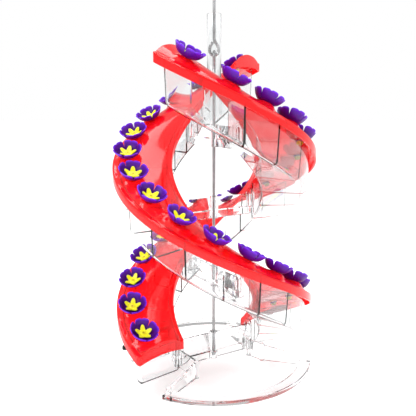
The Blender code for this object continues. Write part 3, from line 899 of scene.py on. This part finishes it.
def foot_band():
    """The curved foot: a rounded bar on an arc, with closed ends."""
    low, high, soft = STAND_Z, STAND_Z + FOOT_HEIGHT, FOOT_EDGE
    section = (
        arc((FOOT_OUTER - soft, low + soft), soft, -90.0, 0.0, 4)
        + arc((FOOT_OUTER - soft, high - soft), soft, 0.0, 90.0, 4)
        + arc((FOOT_INNER + soft, high - soft), soft, 90.0, 180.0, 4)
        + arc((FOOT_INNER + soft, low + soft), soft, 180.0, 270.0, 4)
    )
    rows = []
    for step in range(FOOT_STEPS + 1):
        azimuth = FOOT_START + (FOOT_END - FOOT_START) * step / FOOT_STEPS
        rows.append([polar(radius, azimuth, z) for radius, z in section])
    shape = bmesh.new()
    verts = add_rows(shape, rows)
    bridge_rows(shape, verts, True)
    shape.faces.new(verts[0])
    shape.faces.new(verts[-1])
    return mesh_from(shape, "foot")


def knob(place, height):
    """A round post where two walls meet, a little taller than they are."""
    low, top = STAND_Z + KNOB_LIFT, STAND_Z + height + KNOB_RISE
    profile = [(0.0, low), (KNOB_RADIUS, low)]
    profile += arc((KNOB_RADIUS - KNOB_EDGE, top - KNOB_EDGE), KNOB_EDGE, 0.0, 90.0, 4)
    profile.append((0.0, top))
    return turned_shape(profile, sides=24, centre=place)


def wing_meshes():
    """One foot and the walls and knobs that join it to the two ends of the base's web. The
    plan is given as the radius and azimuth of each place where two walls meet."""
    web_azimuth = STRANDS["a"] + BASE_ANGLE - 360.0
    middle = (FOOT_INNER + FOOT_OUTER) / 2
    left_corner = polar(middle, FOOT_START + 2.0).xy
    left_shoulder = polar(0.0590, 250.0).xy
    left_web = polar(0.0500, web_azimuth + 3.0).xy
    right_corner = polar(middle, FOOT_END - 1.5).xy
    right_shoulder = polar(0.0600, 352.0).xy
    right_elbow = polar(0.0440, 8.0).xy
    right_web = polar(0.0430, web_azimuth + 180.0 - 2.0).xy
    corner, shoulder = CORNER_HEIGHT, SHOULDER_HEIGHT
    runs = [
        (left_corner, left_shoulder, (corner, shoulder)),
        (left_shoulder, left_web, (shoulder, shoulder + 0.0015)),
        (right_corner, right_shoulder, (corner, shoulder)),
        (right_shoulder, right_elbow, (shoulder, shoulder + 0.0010)),
        (right_elbow, right_web, (shoulder + 0.0010, shoulder + 0.0020)),
    ]
    knobs = [
        (left_corner, corner), (left_shoulder, shoulder), (right_corner, corner),
        (right_shoulder, shoulder), (right_elbow, shoulder),
    ]
    walls = [sloping_wall(*run) for run in runs]
    return [foot_band()] + walls + [knob(*place) for place in knobs]


def base_mesh():
    solid = bridge_solid(BASE_ANGLE, STAND_Z + BASE_LIFT)
    for half_turn in (0.0, 180.0):
        wing = union(wing_meshes())
        wing.transform(turned(half_turn))
        solid = boolean(solid, wing, "UNION")
    low, high = STAND_Z - POCKET_PAST, STAND_Z + NUT_POCKET_DEPTH
    pocket = turned_shape([
        (0.0, low), (NUT_POCKET_RADIUS, low), (NUT_POCKET_RADIUS, high), (0.0, high),
    ], sides=6)
    bored = boolean(solid, bore_mesh(STAND_Z - BASE_PAST, curve_z(BASE_ANGLE)), "DIFFERENCE")
    return with_bevel(boolean(bored, pocket, "DIFFERENCE"), BASE_EDGE)


# ---------------------------------------------------------------- rods, nut and sleeve


def eye_points(z, upwards):
    """A wire bent into a pear-shaped eye in the XZ plane about (0, z), from the shank round
    and back to it. The shank leaves it upwards or downwards."""
    sign = 1.0 if upwards else -1.0
    ring = arc((0.0, 0.0), 1.0, EYE_FROM, EYE_TO, 30)
    back = [(-x, height) for x, height in reversed(EYE_SHANK[2:])]
    points = []
    for x, height in EYE_SHANK + ring + back:
        points.append(Vector((x * EYE_RADIUS, 0, z + sign * height * EYE_RADIUS)))
    return points


def hanger_mesh():
    """The upper wire, from its eye up to the open hook."""
    middle = HOOK_INNER + ROD_RADIUS
    bend = middle / 2
    bend_z = -HOOK_INNER - math.sqrt(3.0) * bend * HOOK_NECK_STRETCH
    neck = [(bend * share, bend_z + rise) for share, rise in HOOK_NECK]
    hook = arc((0.0, -HOOK_INNER), middle, HOOK_FROM, HOOK_TO, 40)
    path = eye_points(HANGER_EYE_Z, True)[::-1] + [Vector((x, 0, z)) for x, z in neck + hook]
    return tube(path, ROD_RADIUS)


def rod_mesh():
    """The central wire, its eye turned to face the hanger's, and a rolled thread below."""
    eye = [Vector((0, point.x, point.z)) for point in eye_points(ROD_EYE_Z, False)]
    wire = tube(eye[::-1] + [Vector((0, 0, ROD_END_Z))], ROD_RADIUS)
    pitch = (STAND_Z + THREAD_TOP - ROD_END_Z - 2 * THREAD_MARGIN) / THREAD_TURNS
    helix = []
    for step in range(THREAD_TURNS * POINTS_A_TURN):
        share = step / POINTS_A_TURN
        helix.append(polar(ROD_RADIUS, 360.0 * share, ROD_END_Z + THREAD_MARGIN + pitch * share))
    return joined("rod", [wire, tube(helix, THREAD_RIDGE, sides=8)])


def nut_mesh():
    """A plain hexagon nut in the pocket under the base, with turned corners."""
    top = STAND_Z + NUT_POCKET_DEPTH - NUT_GAP
    low = top - NUT_HEIGHT
    corner = NUT_FLATS / math.sqrt(3.0)
    hexagon = turned_shape([(0.0, low), (corner, low), (corner, top), (0.0, top)], sides=6)
    face = NUT_FLATS / 2
    chamfer = turned_shape([
        (0.0, low), (face, low), (corner, low + NUT_CHAMFER), (corner, top - NUT_CHAMFER),
        (face, top), (0.0, top),
    ], sides=36)
    turned_nut = boolean(hexagon, chamfer, "INTERSECT")
    return boolean(turned_nut, bore_mesh(low - NUT_PAST, top + NUT_PAST), "DIFFERENCE")


def sleeve_mesh():
    """A thin clear tube with rounded rims."""
    low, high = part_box("link_sleeve")
    soft = (SLEEVE_OUTER - SLEEVE_INNER) / 2
    middle = (SLEEVE_OUTER + SLEEVE_INNER) / 2
    profile = arc((middle, low.z + soft), soft, 180.0, 360.0, 6)
    profile += arc((middle, high.z - soft), soft, 0.0, 180.0, 6)
    return turned_shape(profile, sides=64)


# ---------------------------------------------------------------- assembly


def add_strands():
    """Both lids and troughs with their flowers and stars. Strand b repeats strand a."""
    lid, trough, flower, star = lid_mesh(), trough_mesh(), flower_mesh(), star_mesh()
    for strand, azimuth in STRANDS.items():
        cover = f"cover_{strand}"
        place = turned(azimuth)
        lid_here, trough_here = lid.copy(), trough.copy()
        lid_here.transform(place)
        trough_here.transform(place)
        finished(f"red_lid_{strand}", lid_here, RED, cover, [f"lid_{strand}"],
                 sharp=50.0)
        finished(f"clear_trough_{strand}", trough_here, CLEAR, "feeder",
                 [f"trough_{strand}"], sharp=26.0)
        for index in range(1, PORTS + 1):
            number = f"{strand}_{index:02d}"
            here = place @ port_matrix(index)
            finished(f"flower_{number}", flower, VIOLET, cover,
                     [f"feeding_port_{number}"], here, sharp=60.0)
            finished(f"star_{number}", star, YELLOW, cover, [], here,
                     sharp=60.0)


def add_centre():
    """What stands on the axis: bridges, base, wires, nut and sleeve."""
    for name, angle in BRIDGE_ANGLES.items():
        finished(f"clear_{name}", bridge_mesh(angle), CLEAR, "feeder", [name],
                 sharp=22.0)
    finished("clear_base", base_mesh(), CLEAR, "feeder", ["base_stand"],
             sharp=22.0)
    finished("steel_hanger", hanger_mesh(), STEEL, "hanger", ["hanger_rod"])
    finished("steel_rod", rod_mesh(), STEEL, "feeder", ["central_rod"])
    finished("steel_nut", nut_mesh(), STEEL, "feeder", ["rod_nut"])
    finished("clear_sleeve", sleeve_mesh(), CLEAR, "sleeve", ["link_sleeve"])


# ---------------------------------------------------------------- studio


def floor_material():
    """Near white, with a weak glow that keeps it as pale as the photo's background."""
    made = Nodes("studio_floor")
    shade = made.ramp(made.noise(2.0, 2.0), [
        (0.3, (0.93, 0.93, 0.93)), (0.7, (0.95, 0.95, 0.95)),
    ])
    made.link(shade, made.shader.inputs["Base Color"])
    made.set(Roughness=0.9, Emission_Color=(1.0, 1.0, 1.0, 1.0), Emission_Strength=0.42)
    return made.material


def add_floor():
    """A wide plain floor a little below the hanging part."""
    shape = bmesh.new()
    bmesh.ops.create_circle(shape, cap_ends=True, segments=64, radius=FLOOR_RADIUS)
    bmesh.ops.translate(shape, vec=(0, 0, STAND_Z - FLOOR_DROP), verts=shape.verts)
    mesh = mesh_from(shape, "floor")
    mesh.materials.append(floor_material())
    helper("floor", mesh)


def add_light(name, place, target, size, power):
    light = bpy.data.lights.new(name, "AREA")
    light.shape = "RECTANGLE"
    light.size, light.size_y = size
    light.energy = power
    lamp = bpy.data.objects.new(name, light)
    bpy.context.scene.collection.objects.link(lamp)
    lamp.location = place
    lamp.rotation_euler = (Vector(target) - Vector(place)).to_track_quat("-Z", "Y").to_euler()


def add_world():
    """White all round, with a greyer band half-way up that gives clear edges their tone."""
    world = bpy.data.worlds.new("studio")
    bpy.context.scene.world = world
    world.use_nodes = True
    tree = world.node_tree
    coordinates = tree.nodes.new("ShaderNodeTexCoord")
    parts = tree.nodes.new("ShaderNodeSeparateXYZ")
    ramp = tree.nodes.new("ShaderNodeValToRGB")
    stops = [(0.0, 1.0), (0.165, 1.0), (0.30, 0.50), (0.68, 0.50), (0.84, 1.0)]
    set_stops(ramp, [(height, (grey, grey, grey)) for height, grey in stops])
    tree.links.new(coordinates.outputs["Generated"], parts.inputs[0])
    tree.links.new(parts.outputs["Z"], ramp.inputs["Fac"])
    tree.links.new(ramp.outputs["Color"], tree.nodes["Background"].inputs["Color"])


def add_studio():
    scene = bpy.context.scene
    add_world()
    middle = (0.0, 0.0, CURVE_TOP_Z - 0.16)
    add_light("key", (-0.9, -1.1, 0.75), middle, (0.9, 0.9), 16.0)
    add_light("fill", (1.2, -0.6, 0.35), middle, (1.0, 1.0), 6.0)
    add_light("top", (0.1, 0.5, 1.2), middle, (1.4, 0.7), 12.0)
    scene.view_settings.view_transform = "Standard"
    scene.cycles.max_bounces = LIGHT_BOUNCES
    scene.cycles.transmission_bounces = LIGHT_BOUNCES
    scene.cycles.transparent_max_bounces = LIGHT_BOUNCES


def add_camera():
    """The photo's view: from in front and a little above."""
    camera = bpy.data.cameras.new("camera")
    camera.lens = 50.0
    camera.sensor_width = 36.0
    viewer = bpy.data.objects.new("camera", camera)
    bpy.context.scene.collection.objects.link(viewer)
    viewer.location = CAMERA_PLACE
    viewer.rotation_euler = (math.radians(CAMERA_TILT), 0.0, 0.0)
    bpy.context.scene.camera = viewer


add_camera()
add_strands()
add_centre()
add_floor()
add_studio()
